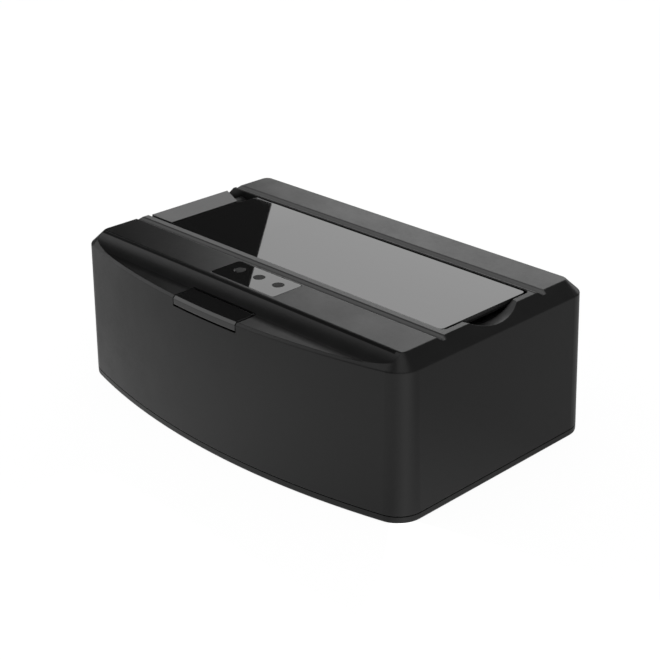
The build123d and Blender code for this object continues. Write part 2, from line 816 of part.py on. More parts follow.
# Lid: the moulded carrier with its hinge end, and the gloss sheet on top of it
strip_right = hinge_x + strip_width / 2
strip_front = lid_front + strip_front_gap
barrel_rear = lid_rear - strip_rear_cut_inner
plate_front = lid_front + panel_inset
plate_rear = lid_rear - panel_inset
plate_right = lid_right - panel_inset
lid_corner_radius = recess_corner_radius - lid_gap
with BuildPart() as lid_carrier:
    with BuildSketch(Plane.XY.offset(lid_bottom)) as plate:
        with BuildLine():
            Polyline(
                (strip_right, plate_front),
                (plate_right, plate_front),
                (plate_right, plate_rear),
                (strip_right, plate_rear),
                close=True,
            )
        make_face()
        fillet(plate.vertices().group_by(Axis.X)[-1], lid_corner_radius - panel_inset)
    extrude(amount=plate_top - lid_bottom)
    with BuildSketch(Plane.XY.offset(hinge_z)):
        with BuildLine():
            Polyline(
                (deck_left, strip_front),
                (strip_right, strip_front),
                (strip_right, lid_rear - strip_rear_cut_inner),
                (deck_left, lid_rear - strip_rear_cut_outer),
                close=True,
            )
        make_face()
    extrude(amount=lid_top - hinge_z)
    with BuildSketch(Plane.XZ.offset(-barrel_rear)):
        with Locations((hinge_x, hinge_z)):
            Circle(barrel_radius)
    extrude(amount=barrel_rear - strip_front)
    with BuildSketch(Plane.XZ.offset(-plate_rear)):
        with Locations((hinge_x, hinge_z)):
            Circle(rear_barrel_radius)
    extrude(amount=plate_rear - barrel_rear)
    # Stiffening ribs that reach down into the bay
    rib_left = bay_left + lid_rib_clearance
    rib_right = bay_right - lid_rib_clearance
    rib_front = bay_front + lid_rib_clearance
    rib_rear = bay_rear - lid_rib_clearance
    rib_z = (lid_bottom - lid_rib_height, lid_bottom)
    for y in (rib_front, rib_rear - lid_rib_width):
        add(block((rib_left, rib_right), (y, y + lid_rib_width), rib_z))
    rib_step = (rib_right - rib_left - lid_rib_width) / (lid_rib_count - 1)
    for index in range(lid_rib_count):
        x = rib_left + index * rib_step
        add(block((x, x + lid_rib_width), (rib_front, rib_rear), rib_z))
    with BuildSketch(Plane.XZ.offset(-lid_rear - overrun)):
        with Locations((hinge_x, hinge_z)):
            Circle(hinge_pin_radius + running_gap)
    extrude(amount=lid_rear - lid_front + 2 * overrun, mode=Mode.SUBTRACT)
    # Bevel under the end that a finger lifts
    with BuildSketch(Plane.XZ.offset(-recess_middle)):
        with BuildLine():
            Polyline(
                (lid_right, plate_top - finger_bevel_skin),
                (lid_right, lid_bottom - overrun),
                (plate_right - finger_bevel_run, lid_bottom - overrun),
                (plate_right - finger_bevel_run, lid_bottom),
                close=True,
            )
        make_face()
    extrude(amount=notch_width / 2, both=True, mode=Mode.SUBTRACT)

with BuildPart() as lid_panel:
    panel_left = strip_right + panel_strip_gap
    with BuildSketch(Plane.XY.offset(plate_top)) as panel:
        with BuildLine():
            Polyline(
                (panel_left, lid_front),
                (lid_right, lid_front),
                (lid_right, lid_rear),
                (panel_left + panel_slant_width, lid_rear),
                (panel_left, lid_rear - panel_slant_length),
                close=True,
            )
        make_face()
        fillet(panel.vertices().group_by(Axis.X)[-1], lid_corner_radius)
    extrude(amount=panel_thickness)

with BuildPart() as lid_hinge_pin:
    with BuildSketch(Plane.XZ.offset(-recess_rear - hinge_pin_grip)):
        with Locations((hinge_x, hinge_z)):
            Circle(hinge_pin_radius)
    extrude(amount=recess_width + 2 * hinge_pin_grip)

# Indicator window, its light guide and the lamps on the board
with BuildPart() as led_window:
    with BuildSketch(Plane.XY.offset(deck_z - window_thickness)):
        with Locations((0, window_middle)):
            RectangleRounded(window_width, window_depth, window_corner_radius)
        with Locations(light_places):
            Circle(light_radius + fit_gap, mode=Mode.SUBTRACT)
    extrude(amount=window_thickness)

with BuildPart() as light_guide:
    stem_foot = board_top + led_height + light_gap
    bridge_top = inner_top - fit_gap
    with BuildSketch(Plane.XY.offset(stem_foot)):
        with Locations(light_places):
            Circle(light_stem_radius)
    extrude(amount=bridge_top - stem_foot)
    with BuildSketch(Plane.XY.offset(bridge_top - light_bridge_height)):
        with Locations((0, light_y)):
            bridge_length = (light_count - 1) * light_pitch + 2 * (light_radius + light_bridge_margin)
            SlotOverall(bridge_length, 2 * (light_radius + light_bridge_margin))
    extrude(amount=light_bridge_height)
    with BuildSketch(Plane.XY.offset(bridge_top)):
        with Locations(light_places):
            Circle(light_radius)
    extrude(amount=deck_z - bridge_top)

with BuildPart() as leds:
    with BuildSketch(Plane.XY.offset(board_top)):
        with Locations(light_places):
            Rectangle(led_length, led_width)
    extrude(amount=led_height)

# Drive well: the open box under the recess that the drive stands in
with BuildPart() as drive_well:
    outer_x = (bay_left - well_wall, bay_right + well_wall)
    outer_y = (bay_front - well_wall, bay_rear + well_wall)
    add(block(outer_x, outer_y, (well_bottom, ledge_bottom)))
    with BuildSketch(Plane.XY.offset(tab_top - tab_thickness)):
        for side in (-1, 1):
            with Locations((tab_middle + side * tab_half_spacing, (tab_front + tab_rear) / 2)):
                RectangleRounded(tab_width, tab_rear - tab_front, tab_corner_radius)
    extrude(amount=tab_thickness)
    inner_z = (bay_floor, ledge_bottom + overrun)
    add(block((bay_left, bay_right), (bay_front, bay_rear), inner_z), mode=Mode.SUBTRACT)
    with BuildSketch(Plane.XY.offset(tab_top)):
        with Locations(well_screw_places):
            Circle(screw_radius + screw_clearance)
    extrude(amount=-tab_thickness, mode=Mode.SUBTRACT)
    # Slots in the floor for the connector and for the pads of the eject lever
    with BuildSketch(Plane.XY.offset(well_bottom)):
        with Locations((connector_x, connector_y)):
            Rectangle(connector_length + 2 * connector_slot_gap, connector_thickness + 2 * connector_slot_gap)
        with Locations((-lever_arm_spread, pad_y), (lever_arm_spread, pad_y)):
            pad_sway = pad_height * sin(radians(lever_rest_tilt))
            Rectangle(lever_arm_width + 2 * pad_slot_gap, pad_length + 2 * (pad_sway + pad_slot_gap))
    extrude(amount=well_floor, mode=Mode.SUBTRACT)

# Main board
with BuildPart() as main_board:
    with BuildSketch(Plane.XY.offset(board_bottom)):
        with Locations((0, (board_front + board_rear) / 2)):
            Rectangle(2 * board_half_width, board_rear - board_front)
        with Locations((0, (tongue_front + board_front) / 2)):
            Rectangle(board_tongue_width, board_front - tongue_front)
        with Locations(board_screw_places):
            Circle(screw_radius + screw_clearance, mode=Mode.SUBTRACT)
    extrude(amount=board_thickness)

# Connector that the drive plugs on to
post_x = (connector_length - connector_post_length) / 2
slot_bottom = bay_floor - slot_depth
slot_rear = connector_y + slot_thickness / 2
with BuildPart() as sata_connector:
    with BuildSketch(Plane.XY.offset(board_top)):
        with Locations((connector_x, connector_y)):
            Rectangle(connector_length, connector_thickness)
    extrude(amount=connector_height)
    with BuildSketch(Plane.XY.offset(bay_floor)):
        with Locations((connector_x - post_x, connector_y), (connector_x + post_x, connector_y)):
            Rectangle(connector_post_length, connector_thickness)
    extrude(amount=connector_post_height)
    with BuildSketch(Plane.XY.offset(slot_bottom)):
        for middle, length in ((power_x, power_slot_length), (signal_x, signal_slot_length)):
            with Locations((middle, connector_y)):
                Rectangle(length, slot_thickness)
            key_x = middle + (length - slot_key_length) / 2
            with Locations((key_x, connector_y - (slot_thickness + slot_key_thickness) / 2)):
                Rectangle(slot_key_length, slot_key_thickness)
    extrude(amount=slot_depth, mode=Mode.SUBTRACT)

with BuildPart() as sata_contacts:
    with BuildSketch(Plane.XY.offset(slot_bottom)):
        for middle, count in ((power_x, power_contact_count), (signal_x, signal_contact_count)):
            with Locations((middle, slot_rear - contact_thickness / 2)):
                with GridLocations(contact_pitch, contact_pitch, count, 1):
                    Rectangle(contact_width, contact_thickness)
    extrude(amount=contact_height)

# Parts soldered on the board
chip_x = board_half_width - chip_side_inset
chip_y = board_rear - chip_from_rear
with BuildPart() as bridge_chip:
    with BuildSketch(Plane.XY.offset(board_top)):
        with Locations((chip_x, chip_y)):
            Rectangle(chip_size, chip_size)
    extrude(amount=chip_height)
    chamfer(bridge_chip.edges().group_by(Axis.Z)[-1], chip_edge / 2)
    with BuildSketch(Plane.XY.offset(board_top)):
        lead_pitch = (chip_size - 2 * chip_edge) / chip_lead_count
        reach = (chip_size + chip_lead_length) / 2
        with Locations((chip_x, chip_y)):
            for side in (-1, 1):
                with Locations((side * reach, 0)):
                    with GridLocations(lead_pitch, lead_pitch, 1, chip_lead_count):
                        Rectangle(chip_lead_length, chip_lead_width)
                with Locations((0, side * reach)):
                    with GridLocations(lead_pitch, lead_pitch, chip_lead_count, 1):
                        Rectangle(chip_lead_width, chip_lead_length)
    extrude(amount=chip_lead_height)

with BuildPart() as crystal:
    with BuildSketch(Plane.XY.offset(board_top)):
        with Locations((chip_x + crystal_offset, chip_y)):
            SlotOverall(crystal_length, crystal_width)
    extrude(amount=crystal_height)

regulator_x = connector_x - connector_length / 2 - regulator_gap - regulator_length / 2
regulator_y = board_rear - regulator_from_rear
with BuildPart() as regulator:
    with BuildSketch(Plane.XY.offset(board_top)):
        with Locations((regulator_x, regulator_y)):
            Rectangle(regulator_length, regulator_width)
    extrude(amount=regulator_height)
    with BuildSketch(Plane.XY.offset(board_top)):
        with Locations((regulator_x, regulator_y + (regulator_width + regulator_tab) / 2)):
            Rectangle(regulator_length / 2, regulator_tab)
        with Locations((regulator_x, regulator_y - (regulator_width + regulator_tab) / 2)):
            with GridLocations(regulator_length / 3, regulator_length, 3, 1):
                Rectangle(regulator_length / 8, regulator_tab)
    extrude(amount=regulator_height / 3)

inductor_place = (inductor_side_inset - board_half_width, board_rear - inductor_from_rear)
with BuildPart() as power_inductor:
    with BuildSketch(Plane.XY.offset(board_top)):
        with Locations(inductor_place):
            RectangleRounded(inductor_size, inductor_size, inductor_corner_radius)
    extrude(amount=inductor_height)
    with BuildSketch(Plane.XY.offset(board_top + inductor_height)):
        with Locations(inductor_place):
            Circle(inductor_core_radius)
    extrude(amount=inductor_core_proud)

with BuildPart() as capacitors:
    with BuildSketch(Plane.XY.offset(board_top)):
        with Locations((capacitor_x, board_rear - capacitor_from_rear)):
            with GridLocations(capacitor_spacing, capacitor_spacing, capacitor_count, 1):
                RectangleRounded(2 * capacitor_radius, 2 * capacitor_radius, capacitor_radius / 3)
    extrude(amount=capacitor_base)
    with BuildSketch(Plane.XY.offset(board_top + capacitor_base)):
        with Locations((capacitor_x, board_rear - capacitor_from_rear)):
            with GridLocations(capacitor_spacing, capacitor_spacing, capacitor_count, 1):
                Circle(capacitor_radius)
    extrude(amount=capacitor_height - capacitor_base)
    chamfer(capacitors.edges().group_by(Axis.Z)[-1], capacitor_crown)

# Eject button: a cap that follows the scoop, a skirt behind the wall and two legs
with BuildPart() as eject_button:
    with BuildSketch(Plane.XY.offset(lip_bottom)) as cap:
        with Locations((0, button_rear - (button_run + growth) / 2)):
            Rectangle(button_width, button_run + growth)
        fillet(cap.vertices().group_by(Axis.Y)[-1], button_corner_radius)
    extrude(amount=deck_z - lip_bottom)
    add(outer_form, mode=Mode.INTERSECT)
    add(scoop_cut(), mode=Mode.SUBTRACT)
    hollow_x = (-button_width / 2 + button_skin, button_width / 2 - button_skin)
    hollow_y = (shell_front + button_bow + button_skin, button_rear - button_skin)
    add(block(hollow_x, hollow_y, (lip_bottom, scoop_floor - button_skin)), mode=Mode.SUBTRACT)
    skirt_y = (skirt_front, skirt_front + skirt_thickness)
    add(block((-button_width / 2, button_width / 2), skirt_y, (skirt_bottom, scoop_floor - button_skin)))
    for side in (-1, 1):
        leg_x = (side * leg_spread - leg_width / 2, side * leg_spread + leg_width / 2)
        leg_y = (lever_bar_y - leg_thickness / 2, lever_bar_y + leg_thickness / 2)
        add(block(leg_x, leg_y, (leg_bottom, scoop_floor - button_skin)))

# Eject lever on its pin, tipped to the place where the pads stand raised
lever_plane = Plane(
    origin=(0, lever_y, lever_z),
    x_dir=(1, 0, 0),
    z_dir=(0, -sin(radians(lever_rest_tilt)), cos(radians(lever_rest_tilt))),
)
lever_width = 2 * lever_arm_spread + lever_arm_width
with BuildPart(lever_plane) as eject_lever:
    Cylinder(lever_hub_radius, lever_width, rotation=(0, 90, 0))
    with Locations((0, -lever_front_arm, 0)):
        Cylinder(lever_bar_radius, lever_width, rotation=(0, 90, 0))
    arm_rear = lever_rear_arm + pad_length / 2
    with Locations(*((side * lever_arm_spread, (arm_rear - lever_front_arm) / 2, 0) for side in (-1, 1))):
        Box(lever_arm_width, arm_rear + lever_front_arm, lever_arm_thickness)
    with Locations(*((side * lever_arm_spread, lever_rear_arm, pad_height / 2) for side in (-1, 1))):
        Box(lever_arm_width, pad_length, pad_height)
    pad_axis = Axis(lever_plane.origin, lever_plane.z_dir)
    fillet(eject_lever.edges().group_by(pad_axis)[-1].filter_by(Axis.X), pad_edge_radius)
    pin_cut_length = lever_width + 2 * overrun
    Cylinder(lever_pin_radius + running_gap, pin_cut_length, rotation=(0, 90, 0), mode=Mode.SUBTRACT)

with BuildPart() as lever_pivot_pin:
    with BuildSketch(Plane.YZ):
        with Locations((lever_y, lever_z)):
            Circle(lever_pin_radius)
    extrude(amount=bracket_inner + bracket_thickness, both=True)

# Data socket in the rear wall
usb_mouth_z = board_top + usb_mouth_lift
with BuildPart() as usb_socket:
    shell_x = (usb_x - usb_width / 2, usb_x + usb_width / 2)
    add(block(shell_x, (port_face - usb_depth, port_face), (board_top, board_top + usb_height)))
    fillet(usb_socket.edges().filter_by(Axis.Y), usb_edge_radius)
    with BuildSketch(Plane.XZ.offset(-port_face)) as mouth:
        with Locations((usb_x, usb_mouth_z + usb_mouth_height / 2)):
            Rectangle(usb_mouth_width, usb_mouth_height)
        chamfer(mouth.vertices().group_by(Axis.Y)[-1], usb_mouth_bevel)
        with Locations((usb_x, usb_mouth_z + usb_mouth_height + usb_upper_height / 2)):
            Rectangle(usb_upper_width - 2 * fit_gap, usb_upper_height)
    extrude(amount=usb_cavity_depth, mode=Mode.SUBTRACT)

with BuildPart() as usb_tongue:
    cavity_front = port_face - usb_cavity_depth
    with BuildSketch(Plane.XZ.offset(-cavity_front)):
        with Locations((usb_x, usb_mouth_z + usb_mouth_height / 2)):
            Rectangle(usb_tongue_width, usb_tongue_height)
        with Locations((usb_x, usb_mouth_z + usb_mouth_height + usb_upper_height / 2)):
            Rectangle(usb_upper_tongue_width, usb_upper_tongue_height)
    extrude(amount=-usb_tongue_length)

# Power jack
jack_z = board_top + jack_axis_height
jack_body_rear = port_face - jack_nose_length
with BuildPart() as power_jack:
    body_x = (jack_x - jack_width / 2, jack_x + jack_width / 2)
    add(block(body_x, (port_face - jack_depth, jack_body_rear), (board_top, board_top + jack_height)))
    with BuildSketch(Plane.XZ.offset(-jack_body_rear)):
        with Locations((jack_x, jack_z)):
            Circle(jack_nose_radius)
    extrude(amount=-jack_nose_length)
    with BuildSketch(Plane.XZ.offset(-port_face)):
        with Locations((jack_x, jack_z)):
            Circle(jack_bore_radius)
    extrude(amount=jack_bore_depth, mode=Mode.SUBTRACT)

with BuildPart() as jack_pin:
    with BuildSketch(Plane.XZ.offset(jack_bore_depth - port_face)):
        with Locations((jack_x, jack_z)):
            Circle(jack_pin_radius)
    extrude(amount=jack_pin_inset - jack_bore_depth)
    chamfer(jack_pin.edges().group_by(Axis.Y)[-1], jack_pin_radius / 2)

# Power switch: case, rocker and the pivot that the rocker tips on
switch_z = board_top + switch_height / 2
rocker_y = port_face - rocker_pivot_depth
pocket_width = switch_width - 2 * switch_frame
pocket_height = switch_height - 2 * switch_frame
with BuildPart() as switch_case:
    case_x = (switch_x - switch_width / 2, switch_x + switch_width / 2)
    add(block(case_x, (port_face - switch_depth, port_face), (board_top, board_top + switch_height)))
    with BuildSketch(Plane.XZ.offset(-port_face)):
        with Locations((switch_x, switch_z)):
            Rectangle(pocket_width, pocket_height)
    extrude(amount=switch_pocket_depth, mode=Mode.SUBTRACT)
    with BuildSketch(Plane.XY.offset(switch_z)):
        with Locations((switch_x, rocker_y)):
            Circle(rocker_pin_radius + seat_gap)
    extrude(amount=pocket_height / 2 + rocker_pin_grip, both=True, mode=Mode.SUBTRACT)

rocker_half = pocket_width / 2 - rocker_clearance
rocker_dip = rocker_half * tan(radians(rocker_tilt / 2))
rocker_plane = Plane(origin=(switch_x, rocker_y, switch_z)).rotated((0, 0, -rocker_tilt / 2))
with BuildPart() as switch_rocker:
    with BuildSketch(rocker_plane):
        with BuildLine():
            Polyline(
                (0, rocker_pivot_depth - rocker_dip),
                (rocker_half, rocker_pivot_depth),
                (rocker_half, rocker_pivot_depth - rocker_shoulder),
                (rocker_heel_width / 2, rocker_pivot_depth - rocker_depth),
                (-rocker_heel_width / 2, rocker_pivot_depth - rocker_depth),
                (-rocker_half, rocker_pivot_depth - rocker_shoulder),
                (-rocker_half, rocker_pivot_depth),
                close=True,
            )
        make_face()
        Circle(rocker_pin_radius + running_gap, mode=Mode.SUBTRACT)
    extrude(amount=pocket_height / 2 - rocker_side_gap, both=True)

with BuildPart() as switch_pivot:
    with BuildSketch(Plane.XY.offset(switch_z)):
        with Locations((switch_x, rocker_y)):
            Circle(rocker_pin_radius)
    extrude(amount=pocket_height / 2 + rocker_pin_grip, both=True)

pieces = {
    "upper_housing": upper_housing,
    "base_cover": base_cover,
    "rubber_feet": rubber_feet,
    "base_screws": base_screws,
    "lid_carrier": lid_carrier,
    "lid_panel": lid_panel,
    "lid_hinge_pin": lid_hinge_pin,
    "led_window": led_window,
    "light_guide": light_guide,
    "leds": leds,
    "drive_well": drive_well,
    "well_screws": well_screws,
    "main_board": main_board,
    "board_screws": board_screws,
    "sata_connector": sata_connector,
    "sata_contacts": sata_contacts,
    "bridge_chip": bridge_chip,
    "crystal": crystal,
    "regulator": regulator,
    "power_inductor": power_inductor,
    "capacitors": capacitors,
    "eject_button": eject_button,
    "eject_lever": eject_lever,
    "lever_pivot_pin": lever_pivot_pin,
    "usb_socket": usb_socket,
    "usb_tongue": usb_tongue,
    "power_jack": power_jack,
    "jack_pin": jack_pin,
    "switch_case": switch_case,
    "switch_rocker": switch_rocker,
    "switch_pivot": switch_pivot,
}
for name, piece in pieces.items():
    piece.part.label = name
    export_step(piece.part, f"parts/{name}.step")
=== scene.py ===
"""Looks of the hard drive dock: the finish of every piece, a plain studio and the camera.

Everything is in metres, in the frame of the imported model: X runs to the right, the front
faces -Y and Z points up. Colours are linear, and levels are the linear greys of a finish.
"""
import json
from math import cos, hypot, pi, radians, sin

import bpy
from mathutils import Matrix, Vector


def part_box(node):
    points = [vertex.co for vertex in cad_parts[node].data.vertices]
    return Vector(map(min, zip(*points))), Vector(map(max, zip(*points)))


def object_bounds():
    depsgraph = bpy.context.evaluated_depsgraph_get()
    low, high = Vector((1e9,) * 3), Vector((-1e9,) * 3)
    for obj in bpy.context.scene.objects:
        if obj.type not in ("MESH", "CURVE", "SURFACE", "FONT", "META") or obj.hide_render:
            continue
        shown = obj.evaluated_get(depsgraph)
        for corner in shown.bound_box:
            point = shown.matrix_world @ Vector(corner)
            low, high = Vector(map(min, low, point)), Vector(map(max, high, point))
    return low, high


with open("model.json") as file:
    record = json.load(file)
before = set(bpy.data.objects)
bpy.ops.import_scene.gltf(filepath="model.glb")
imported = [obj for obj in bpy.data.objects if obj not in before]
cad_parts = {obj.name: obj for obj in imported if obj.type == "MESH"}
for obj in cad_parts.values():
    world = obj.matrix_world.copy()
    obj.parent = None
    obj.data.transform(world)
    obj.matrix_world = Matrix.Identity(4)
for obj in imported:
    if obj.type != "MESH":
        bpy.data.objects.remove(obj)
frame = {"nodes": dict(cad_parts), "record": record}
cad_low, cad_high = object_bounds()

MM = 0.001
scene = bpy.context.scene
nodes = frame["nodes"]
deck_z = cad_high.z
lid_low, lid_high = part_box("lid_panel")
strip_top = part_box("lid_carrier")[1].z
window_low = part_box("led_window")[0]
button_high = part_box("eject_button")[1]

# Sizes of the housing that no piece's box gives
LID_GAP = 0.45 * MM
LID_END_GAP = 1.25 * MM
FRONT_BORDER = 2.0 * MM
REAR_BORDER = 0.9 * MM
RIGHT_BORDER = 1.8 * MM
GROOVE_WIDTH = 2.8 * MM
GROOVE_DEPTH = 0.9 * MM
WINDOW_MARGIN = 1.1 * MM
BUTTON_GAP = 0.35 * MM
SCOOP_DEPTH = 3.3 * MM
NOTCH_WIDTH = 20.3 * MM
NOTCH_DEPTH = 2.9 * MM
NOTCH_TILT = radians(12.0)

# Places on the housing that follow from them
recess_front = lid_low.y - LID_GAP
recess_rear = lid_high.y + LID_GAP
front_groove = recess_front - FRONT_BORDER - GROOVE_WIDTH / 2
rear_groove = recess_rear + REAR_BORDER + GROOVE_WIDTH / 2
deck_front = window_low.y - WINDOW_MARGIN
deck_right = lid_high.x + LID_END_GAP + RIGHT_BORDER
opening_rear = button_high.y + BUTTON_GAP
opening_right = button_high.x + BUTTON_GAP

# The finger notch is cut by a tilted cylinder
notch_depth_across = NOTCH_DEPTH * cos(NOTCH_TILT)
notch_radius = hypot(NOTCH_WIDTH / 2, notch_depth_across) ** 2 / (2 * notch_depth_across)
notch_up = Vector((-sin(NOTCH_TILT), 0, cos(NOTCH_TILT)))
notch_lowest = Vector((deck_right, (recess_front + recess_rear) / 2, deck_z - NOTCH_DEPTH))
notch_axis = notch_lowest + notch_up * notch_radius

# A zone that is to take in a level face starts this far below it
SKIN = 0.05 * MM
THIN_SKIN = 0.02 * MM

# Satin faces are paler than the plastic round them
SATIN_ROUGHNESS = 0.6
STRIP_LEVEL = 0.095
FRONT_BORDER_LEVEL = 0.85 * STRIP_LEVEL
REAR_BORDER_LEVEL = 0.055

# The slope of each groove that faces the front has satin bands of painted highlight and shade: a level,
# and a span from the crease
FRONT_SLOPE = (
    (0.034, (0.05 * MM, 0.4 * MM)),
    (0.05, (0.4 * MM, 1.05 * MM)),
    (0.018, (1.05 * MM, 1.5 * MM)),
)
REAR_SLOPE = (
    (0.055, (0.1 * MM, 1.05 * MM)),
    (0.035, (1.05 * MM, 1.5 * MM)),
)

# The finger notch has a painted highlight, paler towards the rear and the outside, each from a first place
# to a second
NOTCH_HIGHLIGHT_LEVEL = 0.033
NOTCH_OUTER_X = (63.0 * MM, 64.2 * MM)
NOTCH_REAR_Y = (1.5 * MM, 5.5 * MM)

# Painted shade stripes, dark lines of shade along edges and rims and over the scoop's floor, keep a share
# of the gloss, and a span is where one lies from the edge that it follows
GROOVE_SHARE, GROOVE_SPAN = 0.85, (-1.55 * MM, -0.1 * MM)
LIP_SHARE, LIP_SPAN = 0.1, (-0.77 * MM, -0.15 * MM)
RIM_SHARE, RECESS_RIM_SPAN = 0.0, (0.05 * MM, 0.4 * MM)
REAR_RIM_SPAN = (-0.02 * MM, 0.38 * MM)
RIGHT_RIM_SPAN = (-0.05 * MM, 0.35 * MM)
# The lip's stripe reaches this far below the deck and ends this far before the deck's right edge
LIP_DROP, LIP_END = 1.1 * MM, 2.1 * MM
# The rims reach this far below the scoop's floor, and the rear one ends this far inside the opening
RIM_DROP, RIM_CORNER = 0.1 * MM, 0.25 * MM
# The floor of the scoop is darkened with painted shade from this far in front of the opening's rear edge
SCOOP_SHARE, SCOOP_START = 0.6, 0.5 * MM

# The lid's sheet: its sawn edges, and its specular level between two places along X, a painted reflection
# that is stronger towards the right end
SAWN_LEVEL = 0.012
SAWN_ROUGHNESS = 0.5
SHEET_SPAN = (-25 * MM, 57 * MM)
SHEET_PAINTED_REFLECTION = (0.5, 0.82)

# Noise lies mostly between these
NOISE_LOW, NOISE_HIGH = 0.3, 0.7
# Cosines of the turn of a softened normal on flat faces and at sharp edges
FLAT_COSINE, SHARP_COSINE = 0.99, 0.8
PLASTIC_IOR = 1.5


class Finish:
    """One procedural material whose patterns lie in the object's own coordinates."""

    def __init__(self, name):
        self.material = bpy.data.materials.new(name)
        self.material.use_nodes = True
        self.tree = self.material.node_tree
        self.tree.nodes.clear()
        self.shader = self.node("ShaderNodeBsdfPrincipled")
        self.output = self.node("ShaderNodeOutputMaterial")
        self.link(self.shader.outputs["BSDF"], self.output.inputs["Surface"])
        self.place = self.node("ShaderNodeTexCoord").outputs["Object"]

    def node(self, kind, **settings):
        """A new node with its settings."""
        made = self.tree.nodes.new(kind)
        for key, value in settings.items():
            setattr(made, key, value)
        return made

    def link(self, output, socket):
        self.tree.links.new(output, socket)

    def fill(self, socket, value):
        """Sets a socket to a number, vector or colour, or links it to an output."""
        if isinstance(value, bpy.types.NodeSocket):
            self.link(value, socket)
        else:
            socket.default_value = value

    def set(self, **values):
        """Fills the shader's own sockets, with the spaces in their names as underscores."""
        for key, value in values.items():
            self.fill(self.shader.inputs[key.replace("_", " ")], value)

    def along(self, axis, vector=None):
        """A vector's part along an axis, or the object coordinate if no vector is given."""
        split = self.node("ShaderNodeSeparateXYZ")
        self.link(vector or self.place, split.inputs[0])
        return split.outputs[axis]

    def stretched(self, scale):
        """Object coordinates scaled on each axis."""
        mapping = self.node("ShaderNodeMapping")
        self.link(self.place, mapping.inputs["Vector"])
        mapping.inputs["Scale"].default_value = scale
        return mapping.outputs["Vector"]

    def noise(self, size, detail=2.0, rough=0.5, place=None):
        """Soft noise with features of about size metres, from 0 to 1."""
        made = self.node("ShaderNodeTexNoise")
        self.link(place or self.place, made.inputs["Vector"])
        made.inputs["Scale"].default_value = 1 / size
        made.inputs["Detail"].default_value = detail
        made.inputs["Roughness"].default_value = rough
        return made.outputs["Fac"]

    def cells(self, size, feature="F1"):
        """Distance to the nearest of scattered points, about size metres apart."""
        made = self.node("ShaderNodeTexVoronoi", feature=feature)
        self.link(self.place, made.inputs["Vector"])
        made.inputs["Scale"].default_value = 1 / size
        return made.outputs["Distance"]

    def remap(self, value, low, high, to_low, to_high):
        """Maps low to high onto to_low to to_high, and holds the value there beyond them."""
        made = self.node("ShaderNodeMapRange", clamp=True)
        self.link(value, made.inputs["Value"])
        ends = {"From Min": low, "From Max": high, "To Min": to_low, "To Max": to_high}
        for key, number in ends.items():
            made.inputs[key].default_value = number
        return made.outputs["Result"]

    def spread(self, noise, to_low, to_high):
        """Spreads noise from to_low to to_high."""
        return self.remap(noise, NOISE_LOW, NOISE_HIGH, to_low, to_high)

    def maths(self, operation, first, second=0.0):
        """Result of an operation on one or two values."""
        made = self.node("ShaderNodeMath", operation=operation)
        self.fill(made.inputs[0], first)
        self.fill(made.inputs[1], second)
        return made.outputs["Value"]

    def product(self, first, *others):
        """All the values multiplied."""
        for other in others:
            first = self.maths("MULTIPLY", first, other)
        return first

    def dot(self, first, second):
        """Dot product of two vectors."""
        made = self.node("ShaderNodeVectorMath", operation="DOT_PRODUCT")
        self.fill(made.inputs[0], first)
        self.fill(made.inputs[1], second)
        return made.outputs["Value"]

    def blend(self, share, first, second):
        """Mixes two colours."""
        made = self.node("ShaderNodeMix", data_type="RGBA")
        self.fill(made.inputs[0], share)
        self.fill(made.inputs[6], first)
        self.fill(made.inputs[7], second)
        return made.outputs[2]

    def rounded(self, radius):
        """Normal with edges softened over radius metres."""
        bevel = self.node("ShaderNodeBevel", samples=4)
        bevel.inputs["Radius"].default_value = radius
        return bevel.outputs["Normal"]

    def true_normal(self):
        """Normal of the face itself, with no smoothing."""
        return self.node("ShaderNodeNewGeometry").outputs["True Normal"]

    def edges(self, width):
        """1 at sharp edges and 0 on flat faces, over about width metres."""
        turn = self.dot(self.rounded(width), self.true_normal())
        return self.remap(turn, FLAT_COSINE, SHARP_COSINE, 0.0, 1.0)

    def zone(self, least_z, low_y, high_y, low_x=cad_low.x, high_x=cad_high.x):
        """1 above a height and between two limits along Y and along X, else 0."""
        limits = (("GREATER_THAN", "Z", least_z), ("GREATER_THAN", "Y", low_y), ("LESS_THAN", "Y", high_y),
                  ("GREATER_THAN", "X", low_x), ("LESS_THAN", "X", high_x))
        return self.product(*(self.maths(test, self.along(axis), limit) for test, axis, limit in limits))

    def bump(self, height, distance, normal=None):
        """Normal of a relief that is distance metres high."""
        made = self.node("ShaderNodeBump")
        made.inputs["Strength"].default_value = 1.0
        made.inputs["Distance"].default_value = distance
        self.link(height, made.inputs["Height"])
        if normal:
            self.link(normal, made.inputs["Normal"])
        return made.outputs["Normal"]


def grey(level):
    """Linear colour of a neutral grey."""
    return (level, level, level, 1.0)


def painted_notch_highlight(look):
    """Share of the finger notch's painted highlight: up to 1 on its round wall, and 0 elsewhere."""
    rise = look.maths("SUBTRACT", look.dot(look.place, notch_up), notch_axis.dot(notch_up))
    across = look.maths("SUBTRACT", look.along("Y"), notch_axis.y)
    squares = look.maths("ADD", look.product(rise, rise), look.product(across, across))
    on_wall = look.maths("LESS_THAN", look.maths("SQRT", squares), notch_radius + SKIN)
    outer = look.remap(look.along("X"), *NOTCH_OUTER_X, 0.0, 1.0)
    rear = look.remap(look.along("Y"), *NOTCH_REAR_Y, 0.0, 1.0)
    return look.product(on_wall, outer, rear)


